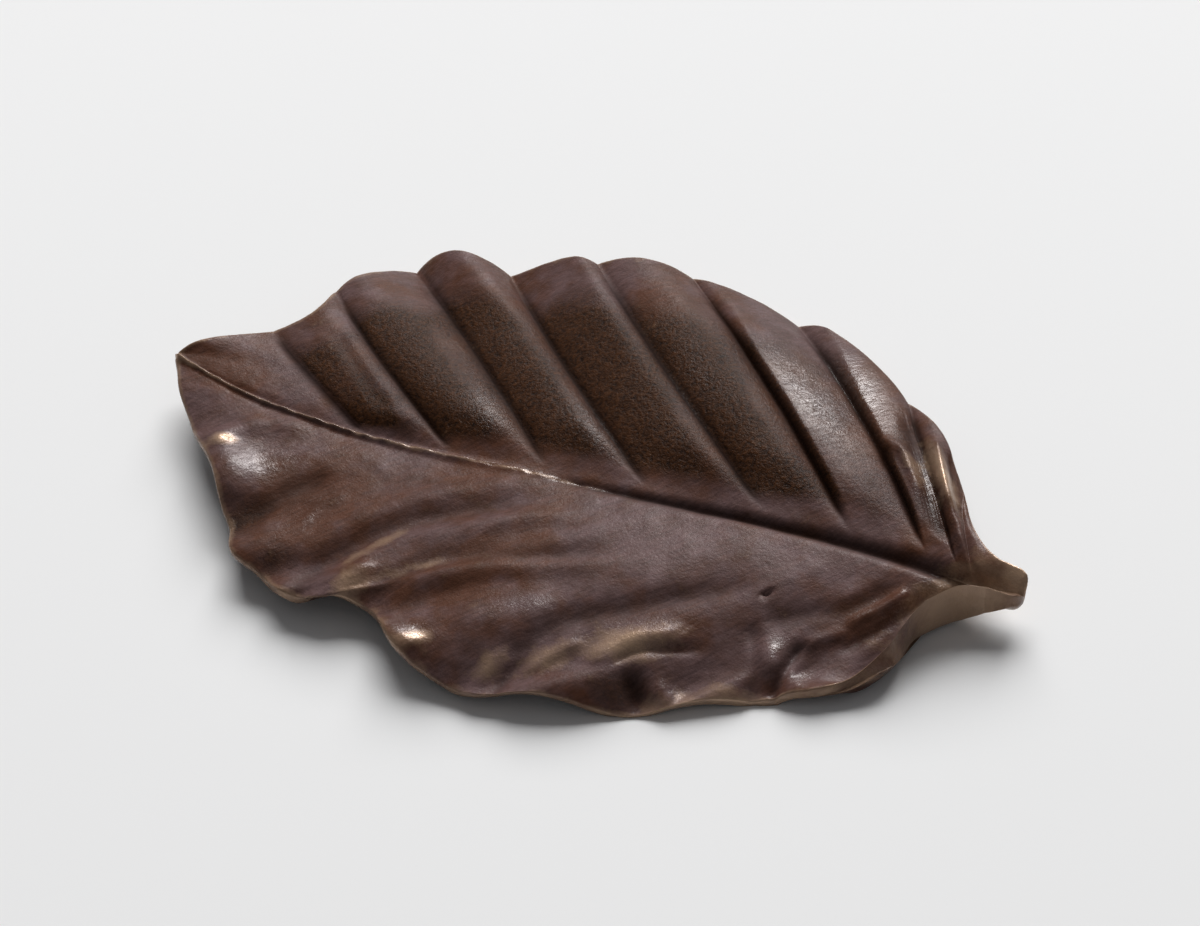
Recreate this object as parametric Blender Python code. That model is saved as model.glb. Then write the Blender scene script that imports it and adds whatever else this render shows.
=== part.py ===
"""Cast bronze beech leaf: one thin casting, pleated blade with a short leaf stalk.

Units are metres. +X runs to the stalk, -X to the tip, +Y to the deeply pleated
half, -Y to the smoother half, +Z up. The leaf lies face up on z = 0.
"""
import bmesh
import bpy
import numpy as np

MM = 0.001

# ---- driving dimensions, all in mm ------------------------------------------
SHEET = 1.0            # thickness of the casting between the veins
TIP_SHEET = 0.8        # the same at the tip
TIP_SHEET_TO = -36.0   # x where the tip's thickness has grown to the sheet's
UPRIGHT_REACH = 2.5    # metal is laid straight down this near the midrib
UPRIGHT_TIP = (-36.5, -41.5)   # and fully so beyond these, at the tip
UPRIGHT_STALK = (36.8, 38.2)   # and at the stalk
STALK_KEEL = 1.1       # extra depth of the round midrib under the stalk
TIP_KEEL = 0.25        # the same at the leaf tip
KEEL_GROWTH = 1.5      # power by which the keel deepens towards the stalk
KEEL_WIDTH = (1.5, 0.8)  # half width of that keel, stalk end and tip end
VEIN_RIB = 0.35        # side veins standing proud of the underside
VEIN_RIB_WIDTH = 0.22  # half width of a side vein, in parts of a field
VEIN_RIB_START = (0.05, 0.15)  # parts of the half width where a rib rises
VEIN_RIB_STOP = (0.5, 0.9)     # and where it fades again
TIP_X = -42.4          # the blade ends bluntly here
STALK_X = 41.4         # end of the stalk
STALK_NOSE = 1.3       # length over which the stalk's end is rounded
NOSE_NARROW = 0.7      # how much narrower the very end is
NOSE_SHIFT = 0.6       # how far it is rounded over to the pleated side
BASE_BLOCK = (32.6, 34.8)  # x where the solid base below the smooth side starts
BASE_SIDE = (0.0, 0.3)     # parts of the half width over which it gets solid
GROOVE_WIDTH = (0.34, 0.95)  # half width of the midrib groove, tip and stalk
RIM_ROUND = 0.3        # radius of the worn edge all round the rim
CURL_REACH = 0.78      # a turned-up rim starts to curl at this part of the width
CURL_RISE = (0.66, 1.0)    # and rises between these
CURL_FULL = 2.0        # a rim that turns up this far or more curls fully
BULGE_SHARP = 1.3      # power that keeps the margin's swellings apart
MARGIN_STEP = 0.02     # step along the margin used to find its direction
FLANK = (0.03, 0.24)   # pleats rise between these parts of the half width
FLARE = (0.6, 1.0)     # and turn into the frill of the margin between these
ORIGIN = (-0.5, 0.22, 0.7)  # this point of the drawing becomes 0, 0, 0
COLUMNS = (2, 2, 3, 4, 5, 4, 4, 5, 4, 4, 4)  # mesh columns in each pleat
COLUMN_GAP = 0.4       # smallest gap left between two mesh columns
# Mesh rows from the midrib to a margin, as parts of the half width.
ROWS = (0.0, 0.025, 0.06, 0.12, 0.19, 0.27, 0.36, 0.45, 0.54, 0.63, 0.72, 0.8,
        0.88, 0.94, 0.985, 1.0)
PLATE = 0.1            # thickness of the flat plate before it is bent

# Floor of the midrib from tip to stalk: x, y, z.
MIDRIB = np.array([
    (-42.5, -0.5, 5.6), (-34.3, -2.6, 4.9), (-25.2, -3.3, 4.3),
    (-16.0, -3.2, 4.2), (-6.0, -2.7, 4.4), (4.0, -2.1, 4.5),
    (15.0, -1.5, 4.6), (24.0, -1.2, 4.6), (31.0, -1.3, 4.6),
    (37.0, -1.9, 4.7), (41.4, -2.1, 4.9)])

# Midrib from tip to stalk: x and how far it stands up (+) or sinks in (-).
GROOVE = np.array([(-42.5, 0.35), (-24.0, 0.42), (-12.0, 0.3), (-5.0, 0.1),
                   (0.0, -0.3), (8.0, -0.45), (20.0, -0.6), (32.0, -0.9),
                   (37.0, -1.0), (41.4, -0.3)])

# x, and the height down to which the base is solid below its smooth side.
FOOT = np.array([(29.0, 1.0), (32.8, 1.2), (34.2, 1.1), (35.3, 1.05),
                 (36.3, 1.2), (38.5, 2.2), (40.2, 3.3), (41.4, 4.0)])

# One entry per side vein, stalk end first, tip last.
# start: x where it leaves the midrib; end: its point on the margin;
# bow: how far it bends towards the stalk; crown: how far the blade arches up;
# lip: how far the rim beyond the end turns up (x, y, z).
# One entry per field between two veins: pleat height at mid blade and frill
# height at the margin; bulge: how far the margin swells out; crest, brow: where
# the pleat's top lies between its veins, at mid blade and at the margin.
# sharp: low makes crisp creases along the veins, high soft ones.
PLEATED = {
    "side": 1.0,
    "sharp": 0.85,
    "start": [41.4, 38.0, 36.6, 35.2, 32.4, 25.2, 17.5, 6.2, -3.7, -12.7,
              -21.5, -43.4],
    "end": [(41.4, 0.0, 5.6), (38.4, 0.3, 5.9), (32.2, 9.2, 4.4),
            (23.8, 19.2, 3.4), (10.1, 27.9, 1.15), (-1.0, 28.9, 3.0),
            (-10.1, 26.9, 3.8), (-18.2, 24.6, 1.6), (-27.1, 22.3, 1.2),
            (-32.4, 14.9, 3.6), (-35.6, 6.9, 4.4), (-42.5, -0.5, 5.6)],
    "bow": [0, 0, -0.8, -0.4, 0.9, 0.2, -2.0, -1.9, 0.0, -2.0, -0.9, 0],
    "crown": [0, 0.1, 0.8, 1.1, 1.5, 1.4, 1.3, 1.2, 1.2, 0.9, 0.5, 0],
    "lip": [(0, 0, 0)] * 12,
    "pleat": [0, 0.2, 0.8, 1.0, 1.1, 1.2, 1.2, 1.3, 1.3, 0.9, 0.15],
    "frill": [0, 0.1, 0.9, 1.0, 0.8, 0.8, 0.9, 2.4, 0.9, 0.8, 0.8],
    "bulge": [0, -0.8, 0.5, 0.9, -0.2, 0.5, 0.4, 0.8, 0.3, -1.2, 0.6],
    "crest": [0.5, 0.5, 0.6, 0.88, 0.88, 0.4, 0.33, 0.4, 0.45, 0.45, 0.5],
    "brow": [0.5, 0.5, 0.5, 0.78, 0.7, 0.5, 0.3, 0.56, 0.65, 0.5, 0.7],
}
SMOOTH = {
    "side": -1.0,
    "sharp": 1.9,
    "start": [41.4, 38.0, 35.0, 33.0, 31.0, 27.5, 21.7, 10.9, 3.3, -4.8,
              -14.0, -24.0, -43.4],
    "end": [(41.4, -3.2, 5.3), (38.2, -3.4, 5.2), (33.5, -6.6, 3.4),
            (29.4, -15.8, 1.6), (22.3, -19.7, 1.4), (11.6, -25.3, 1.1),
            (-3.3, -28.6, 2.2), (-14.2, -23.0, 3.5), (-20.3, -24.1, 3.8),
            (-24.3, -22.6, 3.3), (-30.4, -17.0, 4.0), (-37.6, -8.0, 4.6),
            (-42.5, -0.5, 5.6)],
    "bow": [0, 0, 0.5, 1.0, 1.5, 2.5, 3.5, 4.0, 3.5, 3.0, 3.0, 2.0, 0],
    "crown": [0, 0, -1.4, -0.9, -0.4, 0.4, 0.9, 1.0, 0.8, 0.6, 0.5, 0.4, 0],
    "lip": [(0, 0, 0), (0, 0, 0.7), (0.1, -0.4, 2.7), (0.1, 0.3, 1.4)]
           + [(0, 0, 0)] * 9,
    "pleat": [0, 0.1, 0.2, 0.2, 0.2, 0.2, 0.2, 0.2, 0.2, 0.2, 0.2, 0.1],
    "frill": [0, 0.1, 0.3, 0.7, 1.0, 1.8, 1.2, 0.3, 0.5, 0.8, 0.8, 0.2],
    "bulge": [0, -0.3, 0.2, 0.3, -0.3, -0.4, 1.2, -0.1, 0.2, 1.3, -0.4, 0.3],
    "crest": [0.5] * 12,
    "brow": [0.5] * 12,
}


def ease(low, high, value):
    """Smooth step from 0 at low to 1 at high."""
    part = np.clip((value - low) / (high - low), 0.0, 1.0)
    return part * part * (3.0 - 2.0 * part)


def curve_through(knots, points, at):
    """Smooth curve through points given at increasing knots."""
    points = np.asarray(points, float)
    slopes = np.gradient(points, knots, axis=0)
    at = np.clip(at, knots[0], knots[-1])
    seg = np.clip(np.searchsorted(knots, at, side="right") - 1, 0, len(knots) - 2)
    width = (knots[seg + 1] - knots[seg])[:, None]
    u = (at - knots[seg])[:, None] / width
    return ((2 * u**3 - 3 * u**2 + 1) * points[seg]
            + (u**3 - 2 * u**2 + u) * width * slopes[seg]
            + (3 * u**2 - 2 * u**3) * points[seg + 1]
            + (u**3 - u**2) * width * slopes[seg + 1])


def midrib_at(x):
    """Sideways position and height of the midrib's floor at x."""
    return curve_through(MIDRIB[:, 0], MIDRIB[:, 1:], x)


def vein_number(half, x):
    """Which side vein leaves the midrib at x, as a running number."""
    starts = np.array(half["start"])
    return np.interp(-x, -starts, np.arange(len(starts), dtype=float))


def pleat_arch(half, x, w):
    """0 in the creases along the veins, 1 on the crest of each pleat."""
    number = vein_number(half, x)
    field = np.clip(number.astype(int), 0, len(half["crest"]) - 1)
    mid = np.array(half["crest"])[field]
    crest = mid + (np.array(half["brow"])[field] - mid) * ease(*FLARE, w)
    across = number - field
    part = np.where(across < crest, across / crest, (1 - across) / (1 - crest))
    return np.sin(np.pi / 2 * np.clip(part, 0.0, 1.0))**half["sharp"]


def half_surface(half, x, w, relief):
    """Top of one half: x along the midrib, w from 0 (midrib) to 1 (margin)."""
    starts = np.array(half["start"])
    number = vein_number(half, x)
    knots = np.arange(len(starts), dtype=float)
    field = np.clip(number.astype(int), 0, len(starts) - 2)

    def of_vein(name):
        return np.interp(number, knots, half[name])

    def of_field(name):
        return np.array(half[name], float)[field]

    root = np.column_stack((x, midrib_at(x)))
    end = curve_through(knots, half["end"], number)
    stalk = np.array(half["end"][:2])
    straight = stalk[0] + (stalk[1] - stalk[0]) * number[:, None]
    end = np.where(number[:, None] < 1.0, straight, end)
    ahead = curve_through(knots, half["end"], number + MARGIN_STEP)
    behind = curve_through(knots, half["end"], number - MARGIN_STEP)
    along = (ahead - behind)[:, :2]
    along /= np.maximum(np.linalg.norm(along, axis=1), 1e-6)[:, None]
    outward = np.column_stack((along[:, 1], -along[:, 0])) * half["side"]
    arch = pleat_arch(half, x, w)
    swell = pleat_arch(half, x, np.ones_like(w))
    end[:, :2] += outward * (of_field("bulge") * swell**BULGE_SHARP)[:, None]

    lip = np.array(half["lip"], float)
    lip = np.column_stack([np.interp(number, knots, lip[:, k]) for k in range(3)])
    curled = np.clip(np.abs(lip[:, 2]) / CURL_FULL, 0.0, 1.0)
    reach = w * (1 - curled) + np.minimum(w / CURL_REACH, 1.0) * curled
    rise = ease(*CURL_RISE, w)

    chord = (end - root)[:, :2]
    length = np.maximum(np.linalg.norm(chord, axis=1), 1e-6)[:, None]
    back = np.column_stack((-chord[:, 1], chord[:, 0])) / length
    back *= np.where(back[:, :1] > 0, 1.0, -1.0)
    middle = root[:, :2] + chord / 2 + back * of_vein("bow")[:, None]
    r = reach[:, None]
    flat = (1 - r)**2 * root[:, :2] + 2 * r * (1 - r) * middle + r**2 * end[:, :2]
    height = root[:, 2] + (end[:, 2] - root[:, 2]) * reach
    height += of_vein("crown") * 4 * reach * (1 - reach)
    flare = ease(*FLARE, w)
    pleat = of_field("pleat") * ease(*FLANK, w) * (1 - flare)
    height += relief * arch * (pleat + of_field("frill") * flare)
    surface = np.column_stack((flat, height)) + lip * rise[:, None]
    off = np.linalg.norm(surface[:, :2] - root[:, :2], axis=1)
    part = np.clip((x - TIP_X) / (STALK_X - TIP_X), 0.0, 1.0)
    wide = GROOVE_WIDTH[0] + (GROOVE_WIDTH[1] - GROOVE_WIDTH[0]) * part
    nose = np.clip(1 - (STALK_X - x) / STALK_NOSE, 0.0, 1.0)
    narrow = NOSE_NARROW * (1 - np.sqrt(1 - nose**2))
    surface[:, 1] += (root[:, 1] + NOSE_SHIFT - surface[:, 1]) * narrow
    sink = np.interp(x, GROOVE[:, 0], GROOVE[:, 1])
    surface[:, 2] += relief * sink * np.exp(-(off / wide)**2)
    return surface


def leaf_top(x, v, relief=1.0):
    """Top surface of the leaf; v runs -1 (smooth margin) to 1 (pleated)."""
    w = np.abs(v)
    far = half_surface(PLEATED, x, w, relief)
    near = half_surface(SMOOTH, x, w, relief)
    return np.where((v >= 0)[:, None], far, near)


def base_block(x, v):
    """1 where the base is solid below the smooth side, 0 elsewhere."""
    return ease(*BASE_BLOCK, x) * ease(*BASE_SIDE, -v)


def thickness(x, v, top):
    """Depth of metal below the top: sheet, midrib keel and side veins."""
    off = np.hypot(top[:, 0] - x, top[:, 1] - midrib_at(x)[:, 0])
    along = np.clip((x - TIP_X) / (STALK_X - TIP_X), 0.0, 1.0)
    keel = TIP_KEEL + (STALK_KEEL - TIP_KEEL) * along**KEEL_GROWTH
    wide = KEEL_WIDTH[1] + (KEEL_WIDTH[0] - KEEL_WIDTH[1]) * along
    sheet = TIP_SHEET + (SHEET - TIP_SHEET) * ease(TIP_X, TIP_SHEET_TO, x)
    depth = sheet + keel * np.exp(-(off / wide)**2)
    number = np.where(v >= 0, vein_number(PLEATED, x), vein_number(SMOOTH, x))
    beside = np.abs(number - np.round(number)) / VEIN_RIB_WIDTH
    fade = ease(*VEIN_RIB_START, np.abs(v)) * (1 - ease(*VEIN_RIB_STOP, np.abs(v)))
    on_blade = ease(1.0, 2.0, number) * fade
    depth += VEIN_RIB * np.exp(-beside**2) * on_blade
    solid = top[:, 2] - np.interp(top[:, 0], FOOT[:, 0], FOOT[:, 1])
    return depth + np.maximum(solid - depth, 0.0) * base_block(x, v)


def stations():
    """Midrib positions of the mesh columns, stalk to tip."""
    starts = PLEATED["start"]
    found = [STALK_X - RIM_ROUND, STALK_X - STALK_NOSE / 2, STALK_X - STALK_NOSE,
             TIP_X + RIM_ROUND, TIP_X]
    for here, there, count in zip(starts[:-1], starts[1:], COLUMNS):
        for step in range(count):
            found.append(here + (there - here) * step / count)
    found += [x for x in SMOOTH["start"][2:-1]
              if min(abs(x - f) for f in found) > COLUMN_GAP]
    return np.array(sorted(found))[::-1]


def bent(columns, rows):
    """Top and bottom points of the leaf on a lattice of columns and rows."""
    shape = (len(columns), len(rows))
    x, v = [part.ravel() for part in np.meshgrid(columns, rows, indexing="ij")]
    top = leaf_top(x, v)
    depth = thickness(x, v, top)
    bare = leaf_top(x, v, 0.0).reshape(shape + (3,))
    lean = np.cross(np.gradient(bare, axis=1), np.gradient(bare, axis=0))
    lean /= np.maximum(np.linalg.norm(lean, axis=2, keepdims=True), 1e-9)
    lean = lean.reshape(-1, 3)
    off = np.hypot(top[:, 0] - x, top[:, 1] - midrib_at(x)[:, 0])
    upright = np.maximum(ease(*UPRIGHT_TIP, x), ease(*UPRIGHT_STALK, x))
    upright = np.maximum(upright, np.exp(-(off / UPRIGHT_REACH)**2))
    upright = np.maximum(upright, base_block(x, v))[:, None]
    lean = lean * (1.0 - upright) + np.array([0.0, 0.0, 1.0]) * upright
    lean /= np.linalg.norm(lean, axis=1)[:, None]

    margin = leaf_top(x, np.where(v < 0, -1.0, 1.0))
    inset = np.linalg.norm((top - margin)[:, :2], axis=1)
    inset = np.minimum(inset, np.minimum(x - TIP_X, STALK_X - x))
    over = np.clip(1.0 - inset / RIM_ROUND, 0.0, 1.0)
    worn = RIM_ROUND * (1.0 - np.sqrt(1.0 - over**2))
    top = top - lean * worn[:, None] - ORIGIN
    bottom = top - lean * (depth - 2.0 * worn)[:, None]
    return top.reshape(shape + (3,)), bottom.reshape(shape + (3,))


def leaf_body():
    """One closed body: a flat plate bent to the leaf, rubbed flat below."""
    columns = stations()
    rows = np.array([-w for w in ROWS[:0:-1]] + list(ROWS))
    top, bottom = bent(columns, rows)
    body = bmesh.new()
    bmesh.ops.create_grid(body, x_segments=len(columns) - 1,
                          y_segments=len(rows) - 1, size=1.0)
    bmesh.ops.solidify(body, geom=list(body.faces), thickness=PLATE)
    middle = sum(vert.co.z for vert in body.verts) / len(body.verts)
    for vert in body.verts:
        i = round((vert.co.x + 1) / 2 * (len(columns) - 1))
        j = round((vert.co.y + 1) / 2 * (len(rows) - 1))
        layer = top if vert.co.z > middle else bottom
        vert.co = layer[i, j] * MM
    rub_flat(body)
    bmesh.ops.triangulate(body, faces=body.faces)
    bmesh.ops.recalc_face_normals(body, faces=body.faces)
    return body


def rub_flat(body):
    """Cut the lowest spots off at the table, so the leaf rests on flats."""
    whole = list(body.verts) + list(body.edges) + list(body.faces)
    cut = bmesh.ops.bisect_plane(body, geom=whole, dist=1e-7, plane_co=(0, 0, 0),
                                 plane_no=(0, 0, 1), clear_inner=True)
    ring = [item for item in cut["geom_cut"]
            if isinstance(item, bmesh.types.BMEdge)]
    bmesh.ops.edgeloop_fill(body, edges=ring)


def bronze():
    """Brown patinated bronze."""
    material = bpy.data.materials.new("bronze_patina")
    material.use_nodes = True
    surface = material.node_tree.nodes["Principled BSDF"]
    surface.inputs["Base Color"].default_value = (0.105, 0.072, 0.055, 1.0)
    surface.inputs["Metallic"].default_value = 0.8
    surface.inputs["Roughness"].default_value = 0.38
    return material


def build():
    """Clear the scene and make the leaf."""
    for old in list(bpy.data.objects):
        bpy.data.objects.remove(old)
    group = bpy.data.collections.new("bronze_beech_leaf")
    bpy.context.scene.collection.children.link(group)
    mesh = bpy.data.meshes.new("leaf")
    body = leaf_body()
    body.to_mesh(mesh)
    body.free()
    mesh.materials.append(bronze())
    group.objects.link(bpy.data.objects.new("leaf", mesh))


build()
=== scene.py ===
"""A cast bronze beech leaf lying face up on a pale table.

The casting's sizes are in millimetres; the mesh is made in metres. +X runs to
the stalk, +Y to the pleated half of the blade and +Z up.
"""
import math

import bmesh
import bpy
import numpy as np
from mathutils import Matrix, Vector, noise


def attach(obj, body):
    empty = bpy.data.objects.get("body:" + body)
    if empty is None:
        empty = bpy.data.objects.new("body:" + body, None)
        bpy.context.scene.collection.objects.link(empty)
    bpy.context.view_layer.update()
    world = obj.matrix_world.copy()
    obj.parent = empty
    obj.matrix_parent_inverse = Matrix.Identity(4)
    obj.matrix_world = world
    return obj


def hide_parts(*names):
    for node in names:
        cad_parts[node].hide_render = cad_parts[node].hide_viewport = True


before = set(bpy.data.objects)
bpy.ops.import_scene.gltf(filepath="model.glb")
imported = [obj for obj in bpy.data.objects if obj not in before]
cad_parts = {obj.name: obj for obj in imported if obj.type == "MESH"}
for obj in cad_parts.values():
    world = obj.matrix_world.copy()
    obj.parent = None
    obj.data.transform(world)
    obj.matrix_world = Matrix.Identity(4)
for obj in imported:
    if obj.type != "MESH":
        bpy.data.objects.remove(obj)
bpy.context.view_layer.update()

# ---- Midrib and stalk --------------------------------------------------------
# The midrib is a rough raised bead at the tip that turns into a widening groove
# towards the stalk, with a round keel below. The stalk is a short gutter, cut
# off at the sprue and filed round.
MM = 0.001
ORIGIN = (-0.5, 0.22, 0.7)   # this point of the drawing becomes 0, 0, 0
TIP_X = -42.4                # the blade ends bluntly here
STALK_X = 41.4               # and the stalk here
# Floor of the midrib from tip to stalk: x, y, z.
MIDRIB = np.array([
    (-42.5, -0.5, 5.6), (-34.3, -2.6, 4.9), (-25.2, -3.3, 4.3),
    (-16.0, -3.2, 4.2), (-6.0, -2.7, 4.4), (4.0, -2.1, 4.5),
    (15.0, -1.5, 4.6), (24.0, -1.2, 4.6), (31.0, -1.3, 4.6),
    (37.0, -1.9, 4.7), (41.4, -2.1, 4.9)])
# x, and how far the midrib stands up (+) or sinks in (-) there.
GROOVE = np.array([(-42.5, 0.35), (-24.0, 0.42), (-12.0, 0.3), (-5.0, 0.1),
                   (0.0, -0.3), (8.0, -0.45), (20.0, -0.6), (32.0, -0.9),
                   (37.0, -1.0), (41.4, -0.3)])
GROOVE_WIDTH = (0.34, 0.95)    # half width, tip and stalk
STALK_NOSE = 1.3               # length over which the stalk's end is rounded
NOSE_NARROW = 0.7              # part of its width that the very end loses
NOSE_SHIFT = 0.6               # how far it is rounded over to the pleated side


def ease(low, high, value):
    """Smooth step from 0 at low to 1 at high."""
    part = np.clip((value - low) / (high - low), 0.0, 1.0)
    return part * part * (3.0 - 2.0 * part)


def curve_through(knots, points, at):
    """Smooth curve through points given at increasing knots."""
    points = np.asarray(points, float)
    slopes = np.gradient(points, knots, axis=0)
    at = np.clip(at, knots[0], knots[-1])
    seg = np.clip(np.searchsorted(knots, at, side="right") - 1, 0, len(knots) - 2)
    width = (knots[seg + 1] - knots[seg])[:, None]
    u = (at - knots[seg])[:, None] / width
    return ((2 * u**3 - 3 * u**2 + 1) * points[seg]
            + (u**3 - 2 * u**2 + u) * width * slopes[seg]
            + (3 * u**2 - 2 * u**3) * points[seg + 1]
            + (u**3 - u**2) * width * slopes[seg + 1])


def midrib_at(x):
    """Sideways position and height of the midrib's floor at x."""
    return curve_through(MIDRIB[:, 0], MIDRIB[:, 1:], x)


# ---- Blade halves ------------------------------------------------------------
# Side veins are creases in the upper face, with a rounded pleat between each
# two. The pleated half is crisp; the smooth half was modelled flatter, and its
# rim turns up into a gutter beside the stalk.
# One entry per side vein, stalk end first, tip last. start: x where the vein
# leaves the midrib; end: its point on the margin; bow: how far it bends
# towards the stalk; crown: how far the blade arches up; lip: how far the rim
# turns up beyond the end. One entry per field between two veins. pleat, frill:
# pleat height at mid blade and at the margin; bulge: how far the margin swells
# outwards; crest, brow: where the top of the pleat lies between its veins, at
# mid blade and at the margin. sharp: low makes crisp creases, high soft ones.
PLEATED = {
    "side": 1.0,
    "sharp": 0.85,
    "start": [41.4, 38.0, 36.6, 35.2, 32.4, 25.2, 17.5, 6.2, -3.7, -12.7,
              -21.5, -43.4],
    "end": [(41.4, 0.0, 5.6), (38.4, 0.3, 5.9), (32.2, 9.2, 4.4),
            (23.8, 19.2, 3.4), (10.1, 27.9, 1.15), (-1.0, 28.9, 3.0),
            (-10.1, 26.9, 3.8), (-18.2, 24.6, 1.6), (-27.1, 22.3, 1.2),
            (-32.4, 14.9, 3.6), (-35.6, 6.9, 4.4), (-42.5, -0.5, 5.6)],
    "bow": [0, 0, -0.8, -0.4, 0.9, 0.2, -2.0, -1.9, 0.0, -2.0, -0.9, 0],
    "crown": [0, 0.1, 0.8, 1.1, 1.5, 1.4, 1.3, 1.2, 1.2, 0.9, 0.5, 0],
    "lip": [(0, 0, 0)] * 12,
    "pleat": [0, 0.2, 0.8, 1.0, 1.1, 1.2, 1.2, 1.3, 1.3, 0.9, 0.15],
    "frill": [0, 0.1, 0.9, 1.0, 0.8, 0.8, 0.9, 2.4, 0.9, 0.8, 0.8],
    "bulge": [0, -0.8, 0.5, 0.9, -0.2, 0.5, 0.4, 0.8, 0.3, -1.2, 0.6],
    "crest": [0.5, 0.5, 0.6, 0.88, 0.88, 0.4, 0.33, 0.4, 0.45, 0.45, 0.5],
    "brow": [0.5, 0.5, 0.5, 0.78, 0.7, 0.5, 0.3, 0.56, 0.65, 0.5, 0.7],
}
SMOOTH = {
    "side": -1.0,
    "sharp": 1.9,
    "start": [41.4, 38.0, 35.0, 33.0, 31.0, 27.5, 21.7, 10.9, 3.3, -4.8,
              -14.0, -24.0, -43.4],
    "end": [(41.4, -3.2, 5.3), (38.2, -3.4, 5.2), (33.5, -6.6, 3.4),
            (29.4, -15.8, 1.6), (22.3, -19.7, 1.4), (11.6, -25.3, 1.1),
            (-3.3, -28.6, 2.2), (-14.2, -23.0, 3.5), (-20.3, -24.1, 3.8),
            (-24.3, -22.6, 3.3), (-30.4, -17.0, 4.0), (-37.6, -8.0, 4.6),
            (-42.5, -0.5, 5.6)],
    "bow": [0, 0, 0.5, 1.0, 1.5, 2.5, 3.5, 4.0, 3.5, 3.0, 3.0, 2.0, 0],
    "crown": [0, 0, -1.4, -0.9, -0.4, 0.4, 0.9, 1.0, 0.8, 0.6, 0.5, 0.4, 0],
    "lip": [(0, 0, 0), (0, 0, 0.7), (0.1, -0.4, 2.7), (0.1, 0.3, 1.4)]
           + [(0, 0, 0)] * 9,
    "pleat": [0, 0.1, 0.2, 0.2, 0.2, 0.2, 0.2, 0.2, 0.2, 0.2, 0.2, 0.1],
    "frill": [0, 0.1, 0.3, 0.7, 1.0, 1.8, 1.2, 0.3, 0.5, 0.8, 0.8, 0.2],
    "bulge": [0, -0.3, 0.2, 0.3, -0.3, -0.4, 1.2, -0.1, 0.2, 1.3, -0.4, 0.3],
    "crest": [0.5] * 12,
    "brow": [0.5] * 12,
}
FLANK = (0.03, 0.24)   # pleats rise between these parts of the half width
FLARE = (0.6, 1.0)     # and turn into the frill of the margin between these
BULGE_SHARP = 1.3      # power that keeps the margin's swellings apart
MARGIN_STEP = 0.02     # step along the margin used to find its direction
CURL_REACH = 0.78      # a turned-up rim starts to curl at this part of the width
CURL_RISE = (0.66, 1.0)    # and rises between these
CURL_FULL = 2.0        # a rim that turns up this far or more curls fully


def vein_number(half, x):
    """Which side vein leaves the midrib at x, as a running number."""
    starts = np.array(half["start"])
    return np.interp(-x, -starts, np.arange(len(starts), dtype=float))


def pleat_arch(half, x, w):
    """0 in the creases along the veins, 1 on the crest of each pleat."""
    number = vein_number(half, x)
    field = np.clip(number.astype(int), 0, len(half["crest"]) - 1)
    mid = np.array(half["crest"])[field]
    crest = mid + (np.array(half["brow"])[field] - mid) * ease(*FLARE, w)
    across = number - field
    part = np.where(across < crest, across / crest, (1 - across) / (1 - crest))
    return np.sin(np.pi / 2 * np.clip(part, 0.0, 1.0))**half["sharp"]


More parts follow.
